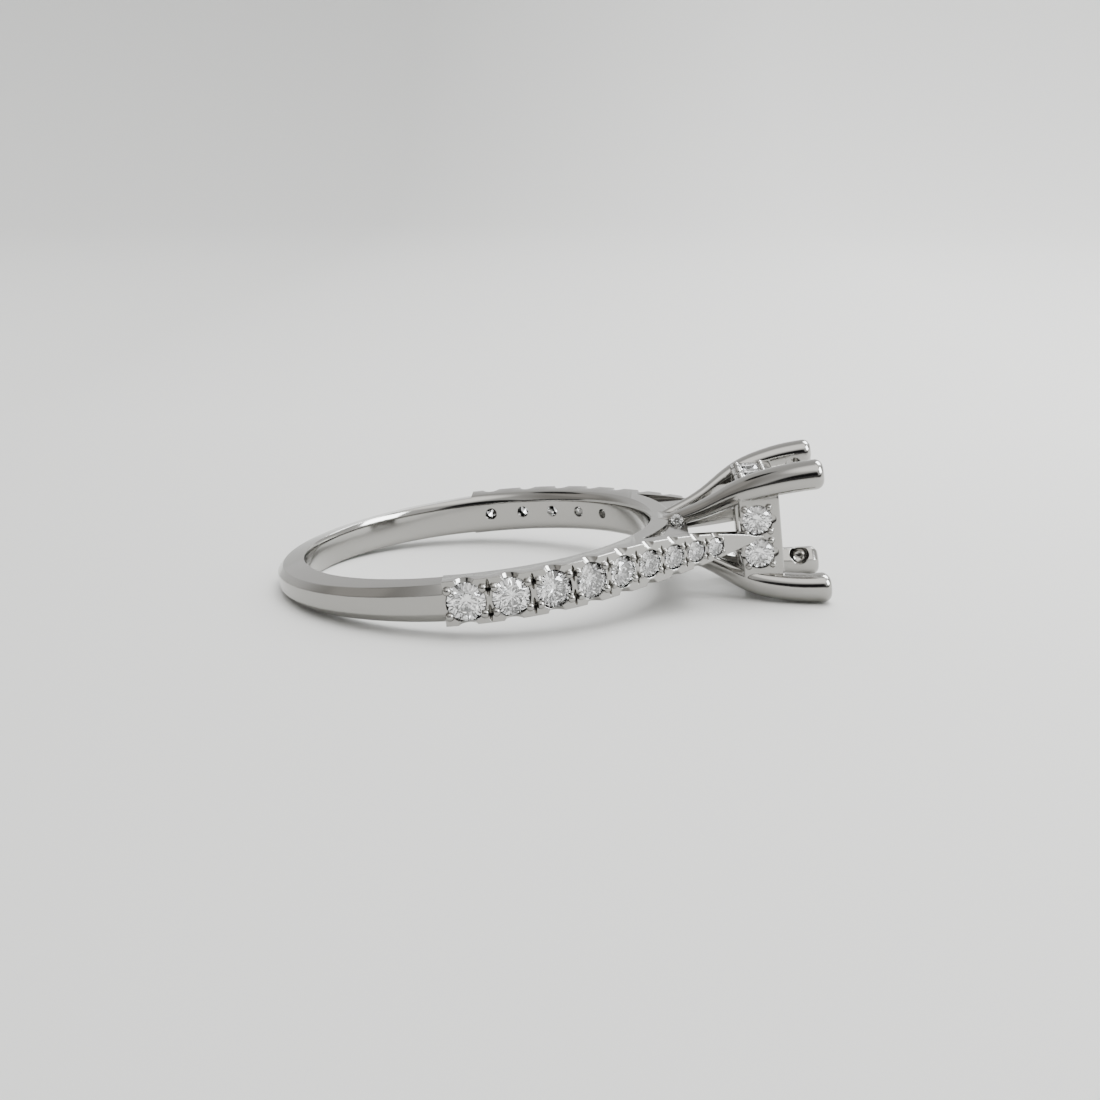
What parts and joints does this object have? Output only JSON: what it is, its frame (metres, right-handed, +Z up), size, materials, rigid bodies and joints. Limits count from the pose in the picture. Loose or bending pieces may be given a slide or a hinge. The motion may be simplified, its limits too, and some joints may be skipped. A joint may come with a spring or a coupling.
{
  "type": "semi mount ring setting",
  "caption": "Polished ring setting with small round stones along both shoulders, a square railed head and four open tulip prongs for a centre stone.",
  "frame": {"origin": "on the surface that the ring lies on, below the middle of its bounding box", "axes": "+X from the bottom of the shank towards the head, +Y across the head from the near shoulder to the far one, +Z up. The ring lies on its side, so the finger hole's axis is near +Z, tipped back by 6.27 degrees because the head is deeper than the shank"},
  "size_m": [0.027, 0.0204, 0.007],
  "materials": {
    "white_gold": "mirror polished white gold",
    "stone": "polished, faceted, clear"
  },
  "bodies": {
    "root": {"ring_setting": "white_gold", "accent_stone_1": "stone", "accent_stone_2": "stone", "accent_stone_3": "stone", "accent_stone_4": "stone", "far_shoulder_stone_1": "stone", "far_shoulder_stone_2": "stone", "far_shoulder_stone_3": "stone", "far_shoulder_stone_4": "stone", "far_shoulder_stone_5": "stone", "far_shoulder_stone_6": "stone", "far_shoulder_stone_7": "stone", "far_shoulder_stone_8": "stone", "far_shoulder_stone_9": "stone", "head_stone_1": "stone", "head_stone_2": "stone", "head_stone_3": "stone", "head_stone_4": "stone", "head_stone_5": "stone", "head_stone_6": "stone", "head_stone_7": "stone", "head_stone_8": "stone", "near_shoulder_stone_1": "stone", "near_shoulder_stone_2": "stone", "near_shoulder_stone_3": "stone", "near_shoulder_stone_4": "stone", "near_shoulder_stone_5": "stone", "near_shoulder_stone_6": "stone", "near_shoulder_stone_7": "stone", "near_shoulder_stone_8": "stone", "near_shoulder_stone_9": "stone"}
  },
  "joints": []
}
